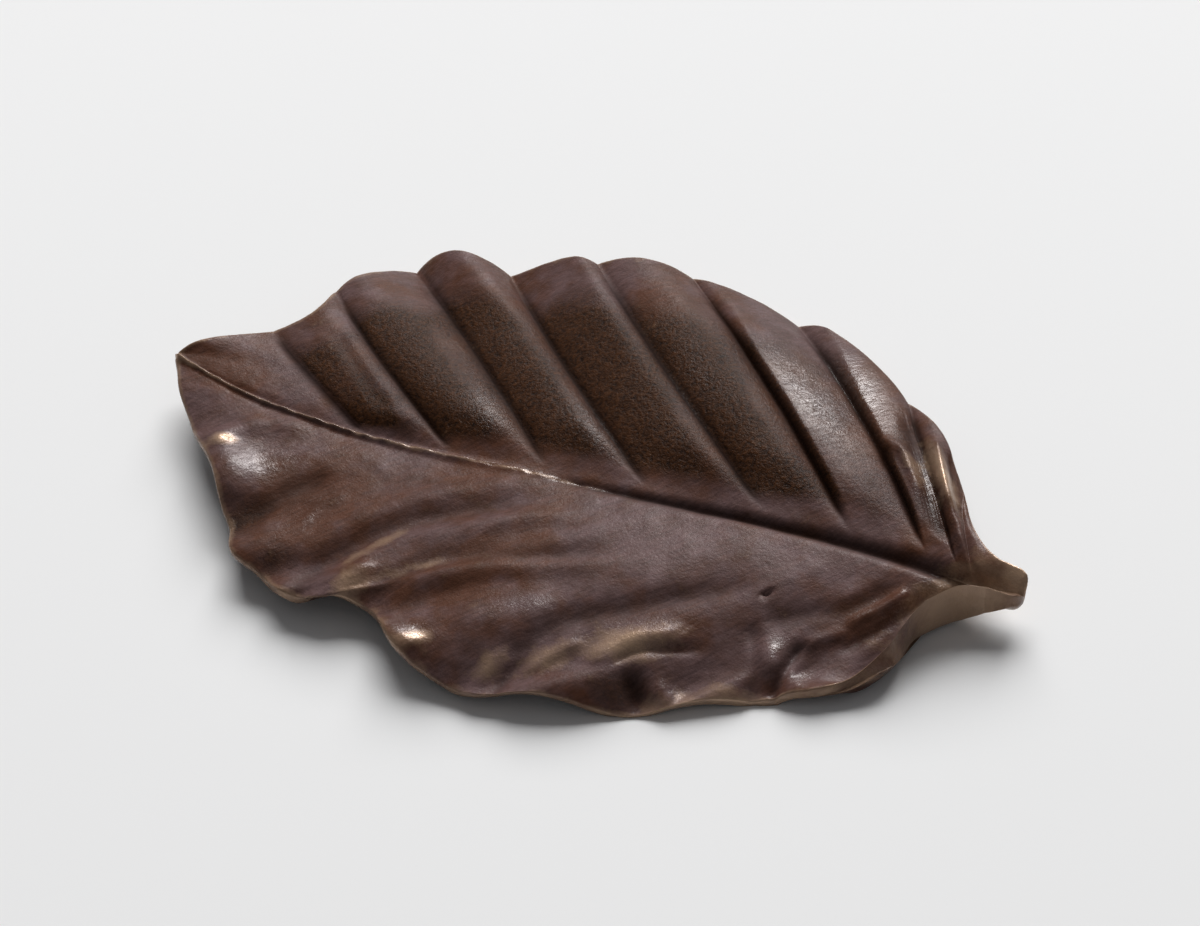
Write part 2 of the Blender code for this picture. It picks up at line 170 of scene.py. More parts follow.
def half_surface(half, x, w, relief):
    """Top of one half: x along the midrib, w from 0 (midrib) to 1 (margin)."""
    starts = np.array(half["start"])
    number = vein_number(half, x)
    knots = np.arange(len(starts), dtype=float)
    field = np.clip(number.astype(int), 0, len(starts) - 2)

    def of_vein(name):
        return np.interp(number, knots, half[name])

    def of_field(name):
        return np.array(half[name], float)[field]

    root = np.column_stack((x, midrib_at(x)))
    end = curve_through(knots, half["end"], number)
    stalk = np.array(half["end"][:2])
    straight = stalk[0] + (stalk[1] - stalk[0]) * number[:, None]
    end = np.where(number[:, None] < 1.0, straight, end)
    ahead = curve_through(knots, half["end"], number + MARGIN_STEP)
    behind = curve_through(knots, half["end"], number - MARGIN_STEP)
    along = (ahead - behind)[:, :2]
    along /= np.maximum(np.linalg.norm(along, axis=1), 1e-6)[:, None]
    outward = np.column_stack((along[:, 1], -along[:, 0])) * half["side"]
    arch = pleat_arch(half, x, w)
    swell = pleat_arch(half, x, np.ones_like(w))
    end[:, :2] += outward * (of_field("bulge") * swell**BULGE_SHARP)[:, None]

    lip = np.array(half["lip"], float)
    lip = np.column_stack([np.interp(number, knots, lip[:, k]) for k in range(3)])
    curled = np.clip(np.abs(lip[:, 2]) / CURL_FULL, 0.0, 1.0)
    reach = w * (1 - curled) + np.minimum(w / CURL_REACH, 1.0) * curled
    rise = ease(*CURL_RISE, w)

    chord = (end - root)[:, :2]
    length = np.maximum(np.linalg.norm(chord, axis=1), 1e-6)[:, None]
    back = np.column_stack((-chord[:, 1], chord[:, 0])) / length
    back *= np.where(back[:, :1] > 0, 1.0, -1.0)
    middle = root[:, :2] + chord / 2 + back * of_vein("bow")[:, None]
    r = reach[:, None]
    flat = (1 - r)**2 * root[:, :2] + 2 * r * (1 - r) * middle + r**2 * end[:, :2]
    height = root[:, 2] + (end[:, 2] - root[:, 2]) * reach
    height += of_vein("crown") * 4 * reach * (1 - reach)
    flare = ease(*FLARE, w)
    pleat = of_field("pleat") * ease(*FLANK, w) * (1 - flare)
    height += relief * arch * (pleat + of_field("frill") * flare)
    surface = np.column_stack((flat, height)) + lip * rise[:, None]
    off = np.linalg.norm(surface[:, :2] - root[:, :2], axis=1)
    part = np.clip((x - TIP_X) / (STALK_X - TIP_X), 0.0, 1.0)
    wide = GROOVE_WIDTH[0] + (GROOVE_WIDTH[1] - GROOVE_WIDTH[0]) * part
    nose = np.clip(1 - (STALK_X - x) / STALK_NOSE, 0.0, 1.0)
    narrow = NOSE_NARROW * (1 - np.sqrt(1 - nose**2))
    surface[:, 1] += (root[:, 1] + NOSE_SHIFT - surface[:, 1]) * narrow
    sink = np.interp(x, GROOVE[:, 0], GROOVE[:, 1])
    surface[:, 2] += relief * sink * np.exp(-(off / wide)**2)
    return surface


def leaf_top(x, v, relief=1.0):
    """Top surface of the leaf; v runs -1 (smooth margin) to 1 (pleated)."""
    w = np.abs(v)
    far = half_surface(PLEATED, x, w, relief)
    near = half_surface(SMOOTH, x, w, relief)
    return np.where((v >= 0)[:, None], far, near)


# ---- Folds and hand work -----------------------------------------------------
# The wax was worked by hand before casting. Soft folds sweep across the smooth
# half to its margin, where it is thumbed into bumps and hollows, and a few
# narrow ridges and furrows gather beside the stalk on the pleated half.
# name, points of its line (x, y), half width, height (a furrow is negative).
FOLDS = [
    ("tip ridge", [(-38, -9.5), (-34.5, -7.5), (-31, -5.5), (-26, -4.5)], 1.3, 0.3),
    ("tip swell", [(-35.7, -7.5), (-34, -10), (-32.2, -13.3), (-31, -16.5)], 3.0, 0.75),
    ("tip furrow", [(-22.5, -9), (-25.5, -12.5), (-28, -16.5), (-31, -20)], 1.2, -0.45),
    ("copper bump", [(-34.1, -9.5), (-33.9, -9.4)], 0.9, 0.4),
    ("scratch ridge long", [(-20.5, -11), (-22.5, -13.5), (-23.5, -17)], 0.35, 0.12),
    ("scratch ridge short", [(-25.3, -13), (-26.5, -17)], 0.35, 0.12),
    ("first ridge", [(-2, -3.5), (-8, -5.5), (-14, -9.5), (-19, -14.5),
                     (-21.5, -19.5), (-23, -25)], 1.2, 0.22),
    ("first furrow", [(-2, -5), (-8.5, -8.7), (-13.5, -12), (-17.5, -16.5),
                      (-20, -21), (-21, -26)], 1.0, -0.32),
    ("second ridge", [(3, -5.2), (-3, -8.3), (-10, -12.5), (-14.5, -15.5),
                      (-16.7, -19.5), (-17.3, -24)], 1.1, 0.3),
    ("second furrow", [(7, -9.5), (-2, -13.3), (-9.5, -15.8), (-12.5, -19),
                       (-14.5, -24)], 1.2, -0.3),
    ("third ridge", [(9, -10.3), (0, -13.7), (-6, -16.7), (-10.5, -20),
                     (-13, -25)], 1.1, 0.3),
    ("long furrow", [(20, -8), (14, -11.8), (8.5, -15.7), (4, -18.7),
                     (1.2, -22.3), (-0.5, -26)], 1.1, -0.42),
    ("golden ridge", [(15, -16.3), (11, -18), (8.7, -20), (7, -23)], 1.1, 0.55),
    ("ridge crack", [(8.8, -22.3), (10.8, -19.7), (13.4, -18.4), (17, -16.7)], 0.4, -0.3),
    ("streak ridge", [(6, -20.3), (3.8, -22.5), (2, -25.5)], 0.7, 0.3),
    ("outer streak ridge", [(0.3, -23.3), (-1.3, -26.2), (-2.2, -30)], 0.7, 0.28),
    ("streak furrow", [(1.6, -23.5), (0.6, -26), (0.3, -30)], 0.5, -0.3),
    ("base furrow", [(31.5, -3), (27, -8), (23, -10.5), (19.5, -13)], 1.0, -0.3),
    ("cross furrow", [(19, -12.5), (20.5, -16), (22, -21)], 0.6, -0.35),
    ("rim bump", [(21.7, -15.7), (22.0, -16.0)], 1.6, 0.75),
    ("bump furrow", [(24.3, -12.5), (23.4, -16), (23.3, -20)], 0.45, -0.5),
    ("rim bump small", [(24.4, -17.3), (24.7, -17.5)], 1.0, 0.5),
    ("hollow bump", [(13.8, -22.5), (14.2, -22.7)], 1.1, 0.75),
    ("thumb hollow", [(11.3, -22.8), (11.9, -23.2)], 1.3, -0.9),
    ("pore", [(19.5, -9.7), (19.6, -9.7)], 0.3, -0.8),
    ("base ridge", [(26.8, -10.3), (29.3, -7), (31.5, -4.3)], 0.6, 0.45),
    ("base ridge short", [(24.8, -12.7), (27, -10.7)], 0.6, 0.3),
    ("gutter furrow", [(27, -13), (30, -9), (32.2, -5.7), (34, -3)], 0.6, -0.4),
    ("notch fold", [(-20.2, -25), (-17.8, -22.7), (-16, -20.7), (-15.5, -18)], 0.8, 0.35),
    ("rim roll", [(-13, -24.3), (-10, -26), (-7.5, -27)], 1.2, 0.75),
    ("broad swell", [(-4, -21.5), (0, -19.3)], 2.2, 0.35),
    ("inner furrow", [(-30.5, 9), (-27, 5.3), (-23.5, 1.8), (-20.3, -1)], 0.8, -0.22),
    ("knob ridge", [(23.3, 11), (25.7, 10.7), (27.7, 8.3), (29.7, 4.7)], 0.7, 0.6),
    ("base far furrow", [(24, 17.5), (26, 13.3), (28.6, 8), (31.3, 3.5),
                         (33.5, 1.5)], 0.8, -0.6),
    ("rim ridge", [(27.7, 14.3), (30, 9), (32.3, 4.5)], 0.55, 0.55),
    ("rim furrow", [(29.7, 13.3), (32, 7.5), (33.7, 3.3)], 0.45, -0.4),
]
FOLD_STEPS = 40
FOLD_TAPER = 0.2       # part of its length over which a fold fades at each end
FOLD_REACH = 3         # a fold is nothing this many half widths away
CREASE = 0.12          # extra cut along each side vein of the pleated half
CREASE_WIDTH = 0.06    # in parts of a field
CREASE_START = (0.04, 0.12)  # parts of the half width where a cut starts
CREASE_STOP = (0.8, 1.0)     # and where it stops
CREASE_FROM = 2.5            # the first veins from the stalk aren't cut
CREASE_TO = (10.8, 10.3)     # and the cut fades out on the last one at the tip
BEAD_BREAK = 0.22      # how far the midrib's bead wanders up and down
BEAD_GRAIN = 0.9       # and over what length
BEAD_TO = (6.0, 0.0)   # x over which it grows
SKIN = [(0.10, 7.0), (0.06, 2.6), (0.03, 1.1)]   # height and size of each swell
# How sandy the cast skin is in each field of the pleated half, stalk end first,
# on the flank of the pleat that faces the tip, which is also painted dark as
# shade. The other flank is smoother and lighter.
SAND_AND_SHADE = np.array([0, 0, 0.5, 0.7, 0.75, 1.0, 1.0, 1.0, 1.0, 0.8, 0.4])
SKIN_ROUGH = 0.68            # part of that sand left on the smoother flank
SAND_AND_SHADE_EDGE = (-0.35, 0.25)   # where one turns into the other, about the crest
SAND_AND_SHADE_START = (0.05, 0.16)   # parts of the half width where the sand starts
SAND_AND_SHADE_STOP = (0.66, 0.95)    # and where it stops
# Spots where handling has polished the patina, where it stayed amber and dark,
# and where it rubbed through to the bare bronze, whose light colour also paints
# highlights at glints: x, y, half lengths along and across, turn in degrees, amount.
POLISHED = [
    (15.3, 14.8, 6.5, 2.4, 133, 1.0), (19.0, 18.3, 6.0, 2.0, 128, 1.0),
    (5.5, 12.0, 4.0, 1.5, 130, 0.3), (-29.0, -10.9, 5.0, 2.4, 40, 0.6),
    (-23.5, -14.5, 3.5, 2.5, 60, 0.7), (-8.5, -25.3, 2.0, 1.2, 35, 1.0),
    (14.0, -21.8, 1.6, 1.4, 0, 1.0), (22.5, -15.0, 2.0, 1.4, 60, 1.0),
    (25.0, -16.7, 1.4, 1.0, 30, 1.0), (0.5, -19.0, 3.5, 1.5, 20, 0.6),
    (-12.0, 2.5, 3.0, 1.5, 130, 0.4), (-2.0, 3.5, 4.0, 1.5, 130, 0.35),
    (29.5, 7.0, 5.0, 1.0, 125, 0.9), (8.5, -19.5, 4.0, 1.5, 30, 0.8),
    (30.5, -7.0, 4.0, 1.5, 50, 0.7), (31.6, -10.9, 2.2, 0.7, 55, 1.0)]
STAINED = [
    (-28.5, -17.0, 5.0, 2.6, 60, 0.75), (-24.0, -20.5, 3.5, 2.0, 50, 0.6),
    (-36.0, -5.5, 4.0, 1.2, 50, 0.35), (35.0, -2.8, 4.5, 1.5, 15, 0.8),
    (28.0, -9.0, 4.0, 1.5, 50, 0.45), (10.5, -24.0, 4.0, 2.0, 20, 0.6),
    (-13.0, -20.5, 4.0, 1.2, 50, 0.4), (25.5, 12.0, 4.0, 1.6, 120, 0.7)]
# Rubbed bare bronze, painted light tan; at glints on ridges, bumps and the stalk's end it
# is a painted highlight.
RUBBED_AND_GLINTS = [
    (-33.6, -9.2, 1.2, 0.8, 30, 1.0), (9.5, -19.5, 4.5, 1.6, 30, 0.8),
    (-16.5, -22.0, 3.0, 1.5, 60, 0.5), (-8.5, -25.6, 1.6, 0.7, 35, 0.8),
    (3.5, -23.0, 3.0, 1.5, 45, 0.5), (-1.5, -26.0, 3.0, 1.2, 60, 0.45),
    (30.5, 8.5, 4.5, 0.8, 125, 0.9), (34.0, 9.0, 5.0, 1.0, 100, 0.5),
    (15.5, -23.0, 4.0, 1.5, 20, 0.5), (20.0, -20.5, 5.0, 1.2, 15, 0.45),
    (-10.5, -17.0, 6.0, 0.8, 32, 0.3), (-16.0, -16.5, 5.0, 0.8, 55, 0.4),
    (40.3, -1.0, 1.8, 1.2, 0, 1.0), (36.5, -5.0, 5.5, 3.5, 50, 1.0),
    (27.5, 9.0, 3.0, 0.8, 125, 0.5), (35.0, -1.0, 2.5, 0.6, 5, 0.5)]


def grain(points, size):
    """Even noise between about -1 and 1, with lumps of the given size."""
    return np.array([noise.noise(Vector(point) / size) for point in points])


def folded(top):
    """Extra height of the folds at points of the top surface."""
    extra = np.zeros(len(top))
    for _, points, wide, height in FOLDS:
        knots = np.linspace(0.0, 1.0, len(points))
        steps = np.linspace(0.0, 1.0, FOLD_STEPS)
        line = curve_through(knots, points, steps)
        box = np.all((top[:, :2] > line.min(axis=0) - FOLD_REACH * wide)
                     & (top[:, :2] < line.max(axis=0) + FOLD_REACH * wide), axis=1)
        gaps = np.linalg.norm(top[box, None, :2] - line[None], axis=2)
        nearest = steps[np.argmin(gaps, axis=1)]
        fade = np.minimum(ease(0.0, FOLD_TAPER, nearest),
                          ease(1.0, 1.0 - FOLD_TAPER, nearest))
        if len(points) == 2:   # a bump has only two points and doesn't fade
            fade = 1.0
        extra[box] += height * fade * np.exp(-(gaps.min(axis=1) / wide)**2)
    return extra


def spots(places, top):
    """How much of each listed spot reaches the points of the top surface."""
    found = np.zeros(len(top))
    for x, y, long, wide, turn, amount in places:
        a = np.radians(turn)
        dx = top[:, 0] - x
        dy = top[:, 1] - y
        along = dx * np.cos(a) + dy * np.sin(a)
        across = dy * np.cos(a) - dx * np.sin(a)
        found = np.maximum(
            found, amount * np.exp(-(along / long)**2 - (across / wide)**2))
    return found


def sand_and_shaded_flank(x, v):
    """How sandy the cast skin is, up to 1; the same amount paints shade on that flank."""
    number = vein_number(PLEATED, x)
    field = np.clip(number.astype(int), 0, len(PLEATED["crest"]) - 1)
    crest = np.array(PLEATED["crest"])[field]
    part = (number - field - crest) / (1 - crest)
    flank = SKIN_ROUGH + (1 - SKIN_ROUGH) * ease(*SAND_AND_SHADE_EDGE, part)
    inner = ease(*SAND_AND_SHADE_START, v) * (1 - ease(*SAND_AND_SHADE_STOP, v))
    return flank * SAND_AND_SHADE[field] * inner


def crease_line(x, v):
    """1 along the side veins of the pleated half, 0 away from them."""
    number = vein_number(PLEATED, x)
    beside = np.abs(number - np.round(number)) / CREASE_WIDTH
    inner = ease(*CREASE_START, v) * (1 - ease(*CREASE_STOP, v))
    inner *= number > CREASE_FROM
    return np.exp(-beside**2) * inner * ease(*CREASE_TO, number)


# ---- The casting -------------------------------------------------------------
# Blade and stalk are one pour of bronze about 1 mm thick, thicker at the
# midrib, with veins raised on the underside and the rim worn round.
SHEET = 1.0            # thickness between the veins
TIP_SHEET = 0.8        # the same at the tip
TIP_SHEET_TO = -36.0   # x where the tip's thickness has grown to the sheet's
STALK_KEEL = 1.1       # extra depth of the round midrib under the stalk
TIP_KEEL = 0.25        # the same at the tip
KEEL_GROWTH = 1.5      # power by which the keel deepens towards the stalk
KEEL_WIDTH = (1.5, 0.8)    # half width of the keel, stalk and tip
# x, and the height down to which the base is solid below its smooth side.
FOOT = np.array([(29.0, 1.0), (32.8, 1.2), (34.2, 1.1), (35.3, 1.05),
                 (36.3, 1.2), (38.5, 2.2), (40.2, 3.3), (41.4, 4.0)])
BASE_BLOCK = (32.6, 34.8)  # x over which that base gets solid
BASE_SIDE = (0.0, 0.3)     # parts of the half width over which it does
UPRIGHT_REACH = 2.5    # metal is laid straight down this near the midrib
UPRIGHT_TIP = (-36.5, -41.5)   # and fully so beyond these, at the tip
UPRIGHT_STALK = (36.8, 38.2)   # and at the stalk
VEIN_RIB = 0.35        # side veins standing proud of the underside
VEIN_RIB_WIDTH = 0.22  # half width of a side vein, in parts of a field
VEIN_RIB_START = (0.05, 0.15)  # parts of the half width where a rib rises
VEIN_RIB_STOP = (0.5, 0.9)     # and where it fades again
RIM_ROUND = 0.3        # radius of the worn edge all round the rim
END_ROUND = 0.48       # rounding of the stalk's end, in parts of its depth
COLUMNS = 330          # mesh lines from stalk to tip
COLUMN_SAMPLES = 4000  # points at which the leaf is measured to space them
ROWS = 60              # mesh lines from the midrib to each margin
ROW_CROWDING = 0.35    # how much closer they lie at both ends
ROW_CLEAR = (1.3, 2)   # steps kept free of other lines, at midrib and rim
MIDRIB_STEPS = (0.002, 0.005, 0.008)            # first rows beside the midrib
RIM_STEPS = (0.012, 0.008, 0.004, 0.0015, 0.0)  # last rows before the rim
END_STEPS = (0.03, 0.09, 0.18, 0.3, 0.45, 0.62, 0.8)   # first columns from the stalk
END_GAP = 0.1          # smallest gap left beyond the last of them
PLATE = 0.1            # thickness of the flat plate before it is bent
GROOVE_DARK = 0.8      # half width of the painted shade in the midrib's groove
GROOVE_FROM = (-6.0, 6.0)    # x over which the bead turns into the groove
GROOVE_TO = (42.0, 38.5)     # and over which the groove runs out at the stalk
BEAD_SHINE = 0.35      # half width of the polished top of the bead
BEAD_RUBBED = 0.45     # how far it is rubbed bare
RIM_RUBBED = 0.5       # how far the rim is
RIM_RUBBED_WIDTH = 0.45      # over this distance from the edge
BASE_UNRUBBED = 0.85   # part of that rubbing which the solid base is spared
SANDY_BELOW = 0.6      # the underside is left as it was cast


def base_block(x, v):
    """1 where the base is solid below the smooth side, 0 elsewhere."""
    return ease(*BASE_BLOCK, x) * ease(*BASE_SIDE, -v)


def thickness(x, v, top):
    """Depth of metal below the top: sheet, midrib keel and side veins."""
    off = np.hypot(top[:, 0] - x, top[:, 1] - midrib_at(x)[:, 0])
    along = np.clip((x - TIP_X) / (STALK_X - TIP_X), 0.0, 1.0)
    keel = TIP_KEEL + (STALK_KEEL - TIP_KEEL) * along**KEEL_GROWTH
    wide = KEEL_WIDTH[1] + (KEEL_WIDTH[0] - KEEL_WIDTH[1]) * along
    sheet = TIP_SHEET + (SHEET - TIP_SHEET) * ease(TIP_X, TIP_SHEET_TO, x)
    depth = sheet + keel * np.exp(-(off / wide)**2)
    number = np.where(v >= 0, vein_number(PLEATED, x), vein_number(SMOOTH, x))
    beside = np.abs(number - np.round(number)) / VEIN_RIB_WIDTH
    fade = ease(*VEIN_RIB_START, np.abs(v)) * (1 - ease(*VEIN_RIB_STOP, np.abs(v)))
    on_blade = ease(1.0, 2.0, number) * fade
    depth += VEIN_RIB * np.exp(-beside**2) * on_blade
    solid = top[:, 2] - np.interp(top[:, 0], FOOT[:, 0], FOOT[:, 1])
    return depth + np.maximum(solid - depth, 0.0) * base_block(x, v)


def spread_columns():
    """Columns equally spaced where the leaf is longest, one on every vein."""
    x = np.linspace(STALK_X, TIP_X, COLUMN_SAMPLES)
    step = np.zeros(len(x) - 1)
    for v in (-1.0, 0.0, 1.0):
        line = leaf_top(x, np.full_like(x, v), 0.0)
        step = np.maximum(step, np.linalg.norm(np.diff(line, axis=0), axis=1))
    run = np.concatenate(([0.0], np.cumsum(step)))
    columns = np.interp(np.linspace(0.0, run[-1], COLUMNS), run, x)
    for start in PLEATED["start"][1:-1] + SMOOTH["start"][2:-1]:
        columns[np.argmin(np.abs(columns - start))] = start
    ends = [STALK_X] + [STALK_X - step for step in END_STEPS]
    inner = [column for column in columns if column < ends[-1] - END_GAP]
    return np.array(sorted(inner + ends))[::-1]


def spread_rows():
    """Rows from margin to margin, closest at the midrib and the rims."""
    u = np.linspace(0.0, 1.0, ROWS)
    half = u - ROW_CROWDING * np.sin(2 * np.pi * u) / (2 * np.pi)
    first = ROW_CLEAR[0] * MIDRIB_STEPS[-1]
    last = 1.0 - ROW_CLEAR[1] * RIM_STEPS[0]
    half = [0.0] + [w for w in half if first < w < last]
    half += [1.0 - step for step in RIM_STEPS] + list(MIDRIB_STEPS)
    half.sort()
    return np.array([-w for w in half[:0:-1]] + half)


columns = spread_columns()
rows = spread_rows()
lattice = (len(columns), len(rows))
x, v = [part.ravel() for part in np.meshgrid(columns, rows, indexing="ij")]
top = leaf_top(x, v)
depth = thickness(x, v, top)
bare = leaf_top(x, v, 0.0).reshape(lattice + (3,))
lean = np.cross(np.gradient(bare, axis=1), np.gradient(bare, axis=0))
lean /= np.maximum(np.linalg.norm(lean, axis=2, keepdims=True), 1e-9)
lean = lean.reshape(-1, 3)
off = np.hypot(top[:, 0] - x, top[:, 1] - midrib_at(x)[:, 0])
upright = np.maximum(ease(*UPRIGHT_TIP, x), ease(*UPRIGHT_STALK, x))
upright = np.maximum(upright, np.exp(-(off / UPRIGHT_REACH)**2))
upright = np.maximum(upright, base_block(x, v))[:, None]
lean = lean * (1.0 - upright) + np.array([0.0, 0.0, 1.0]) * upright
lean /= np.linalg.norm(lean, axis=1)[:, None]

margin = leaf_top(x, np.where(v < 0, -1.0, 1.0))
inset = np.linalg.norm((top - margin)[:, :2], axis=1)
inset = np.minimum(inset, x - TIP_X)
over = np.clip(1.0 - inset / RIM_ROUND, 0.0, 1.0)
worn = RIM_ROUND * (1.0 - np.sqrt(1.0 - over**2))
blunt = END_ROUND * depth
over = np.clip(1.0 - (STALK_X - x) / blunt, 0.0, 1.0)
worn = np.maximum(worn, blunt * (1.0 - np.sqrt(1.0 - over**2)))

crease = crease_line(x, v)
groove = np.exp(-(off / GROOVE_DARK)**2) * ease(*GROOVE_FROM, x) * ease(*GROOVE_TO, x)
ridge = np.exp(-(off / BEAD_SHINE)**2) * ease(*GROOVE_FROM[::-1], x)
rim = RIM_RUBBED * np.exp(-(inset / RIM_RUBBED_WIDTH)**2)
rim *= 1 - BASE_UNRUBBED * base_block(x, v)
folds = folded(top)
# The crease mask is painted shade in the creases, the midrib's groove and the furrows.
masks = {"crease": np.clip(crease + groove + np.clip(-folds, 0, 1), 0, 1),
         # The sand mask is sandy skin and also painted shade on the tip-facing pleat
         # flanks.
         "sand_and_shade": np.maximum(sand_and_shaded_flank(x, v), spots(STAINED, top)),
         "polished": np.maximum(spots(POLISHED, top), ridge),
         # The rubbed mask is worn bare bronze and also painted highlights at glints.
         "rubbed": np.clip(spots(RUBBED_AND_GLINTS, top) + BEAD_RUBBED * ridge + rim, 0, 1)}
work = folds - CREASE * crease
for height, size in SKIN:
    work += height * grain(top, size)
bead = np.exp(-(off / GROOVE_WIDTH[0])**2) * ease(*BEAD_TO, x)
work += BEAD_BREAK * bead * grain(top, BEAD_GRAIN)
top = top + lean * (work - worn)[:, None]
bottom = top - lean * (depth - 2.0 * worn)[:, None]
layers = {True: (top - ORIGIN).reshape(lattice + (3,)),
          False: (bottom - ORIGIN).reshape(lattice + (3,))}

casting = bmesh.new()
bmesh.ops.create_grid(casting, x_segments=len(columns) - 1,
                      y_segments=len(rows) - 1, size=1.0)
bmesh.ops.solidify(casting, geom=list(casting.faces), thickness=PLATE)
middle = sum(vert.co.z for vert in casting.verts) / len(casting.verts)
painted = {name: casting.verts.layers.float.new(name) for name in masks}
masks = {name: mask.reshape(lattice) for name, mask in masks.items()}
below = {"crease": 0.0, "sand_and_shade": SANDY_BELOW, "polished": 0.0}
for vert in casting.verts:
    i = round((vert.co.x + 1) / 2 * (len(columns) - 1))
    j = round((vert.co.y + 1) / 2 * (len(rows) - 1))
    upper = vert.co.z > middle
    for name, layer in painted.items():
        kept = upper or name not in below   # the rim is rubbed on both faces
        vert[layer] = float(masks[name][i, j]) if kept else below[name]
    vert.co = layers[upper][i, j] * MM
    vert.co.z = max(vert.co.z, 0.0)   # rubbed flat where it meets the table
bmesh.ops.recalc_face_normals(casting, faces=casting.faces)
for face in casting.faces:
    face.smooth = True
leaf_mesh = bpy.data.meshes.new("leaf_casting")
casting.to_mesh(leaf_mesh)
casting.free()
leaf = bpy.data.objects.new("leaf_casting", leaf_mesh)
bpy.context.scene.collection.objects.link(leaf)


def linear(code):
    """sRGB hex colour as linear RGBA."""
    parts = [int(code[k:k + 2], 16) / 255 for k in (0, 2, 4)]
    return [p / 12.92 if p <= 0.04045 else ((p + 0.055) / 1.055)**2.4
            for p in parts] + [1.0]


def add(tree, kind, links, **settings):
    """Add one node, set it and link its sockets; plain values are set on them."""
    node = tree.nodes.new(kind)
    for name, value in settings.items():
        setattr(node, name, value)
    for socket, source in links.items():
        if isinstance(source, bpy.types.NodeSocket):
            tree.links.new(source, node.inputs[socket])
        else:
            node.inputs[socket].default_value = source
    return node


# Cast bronze, patinated brown with liver of sulphur over a sandy cast skin and
# waxed: a dull, dark oxide that shines softly; amber and almost black where the
# skin is rough, partly painted shade on the pleat flanks; painted shade in the
# creases; warm bare metal where hands have rubbed it, partly painted highlights.
patina = bpy.data.materials.new("brown_patinated_bronze")
patina.use_nodes = True
tree = patina.node_tree
shader = tree.nodes["Principled BSDF"]
place = add(tree, "ShaderNodeTexCoord", {}).outputs["Object"]
mask = {name: add(tree, "ShaderNodeAttribute", {}, attribute_name=name).outputs["Fac"]
        for name in masks}

clouds = add(tree, "ShaderNodeTexNoise", {     # patina clouds about 8 mm across
    "Vector": place, "Scale": 1 / (8 * MM), "Detail": 4.0, "Roughness": 0.6})
blotches = add(tree, "ShaderNodeTexNoise", {   # blotches about 2.5 mm across
    "Vector": place, "Scale": 1 / (2.5 * MM), "Detail": 5.0, "Roughness": 0.65})
grit = add(tree, "ShaderNodeTexNoise", {       # cast sand grains about 0.4 mm
    "Vector": place, "Scale": 1 / (0.4 * MM), "Detail": 4.0, "Roughness": 0.7})
fine = add(tree, "ShaderNodeTexNoise", {       # patina grain about 0.25 mm
    "Vector": place, "Scale": 1 / (0.25 * MM), "Detail": 2.0})
turned = add(tree, "ShaderNodeMapping", {      # brushing runs along the folds
    "Vector": place, "Rotation": (0.0, 0.0, math.radians(48.0)),
    "Scale": (6.0, 1.0, 2.0)}, vector_type="TEXTURE")
brushing = add(tree, "ShaderNodeTexNoise", {   # brush marks about 0.3 mm apart
    "Vector": turned.outputs[0], "Scale": 1 / (0.3 * MM), "Detail": 3.0,
    "Roughness": 0.7})

cloud_mix = add(tree, "ShaderNodeMapRange", {
    "Value": clouds.outputs["Fac"], "From Min": 0.42, "From Max": 0.58})
brown = add(tree, "ShaderNodeMix", {
    0: cloud_mix.outputs[0], 6: linear("56372a"), 7: linear("5f4a49")},
    data_type="RGBA")
mottle = add(tree, "ShaderNodeMapRange", {
    "Value": blotches.outputs["Fac"], "From Min": 0.35, "From Max": 0.7,
    "To Max": 0.6})
mottled = add(tree, "ShaderNodeMix", {
    0: mottle.outputs[0], 6: brown.outputs[2], 7: linear("3d2416")},
    data_type="RGBA")
# Sand grain in near black and amber; on the tip-facing pleat flanks it is also painted
# shade.
speck = add(tree, "ShaderNodeMapRange", {
    "Value": grit.outputs["Fac"], "From Min": 0.3, "From Max": 0.7})
sand_and_shade_colour = add(tree, "ShaderNodeMix", {
    0: speck.outputs[0], 6: linear("150a06"), 7: linear("4b2d18")},
    data_type="RGBA")
sand_and_shade_edge = add(tree, "ShaderNodeMath", {
    0: mask["sand_and_shade"], 1: clouds.outputs["Fac"]}, operation="ADD")
sand_and_shade_amount = add(tree, "ShaderNodeMapRange", {
    "Value": sand_and_shade_edge.outputs[0], "From Min": 0.8, "From Max": 1.35})
sanded_and_shaded = add(tree, "ShaderNodeMix", {
    0: sand_and_shade_amount.outputs[0], 6: mottled.outputs[2], 7: sand_and_shade_colour.outputs[2]},
    data_type="RGBA")
streak = add(tree, "ShaderNodeMapRange", {
    "Value": brushing.outputs["Fac"], "From Min": 0.35, "From Max": 0.65,
    "To Min": 0.82, "To Max": 1.18})
streaked = add(tree, "ShaderNodeMix", {
    0: 1.0, 6: sanded_and_shaded.outputs[2], 7: streak.outputs[0]},
    data_type="RGBA", blend_type="MULTIPLY")
# Painted shade: the creases, the midrib's groove and the furrows darkened almost to
# black.
crease_shade_amount = add(tree, "ShaderNodeMath", {
    0: mask["crease"], 1: 0.85}, operation="MULTIPLY")
crease_shaded = add(tree, "ShaderNodeMix", {
    0: crease_shade_amount.outputs[0], 6: streaked.outputs[2], 7: linear("170c08")},
    data_type="RGBA")
# Light tan of rubbed bare bronze, partly a painted highlight at the glints.
rub_and_glint_edge = add(tree, "ShaderNodeMath", {
    0: mask["rubbed"], 1: blotches.outputs["Fac"]}, operation="ADD")
rub_and_glint_amount = add(tree, "ShaderNodeMapRange", {
    "Value": rub_and_glint_edge.outputs[0], "From Min": 0.66, "From Max": 1.35,
    "To Max": 0.8})
colour = add(tree, "ShaderNodeMix", {
    0: rub_and_glint_amount.outputs[0], 6: crease_shaded.outputs[2], 7: linear("b2947a")},
    data_type="RGBA")
tree.links.new(colour.outputs[2], shader.inputs["Base Color"])

bare_metal = add(tree, "ShaderNodeMapRange", {
    "Value": rub_and_glint_amount.outputs[0], "To Min": 0.05, "To Max": 0.45})
tree.links.new(bare_metal.outputs[0], shader.inputs["Metallic"])

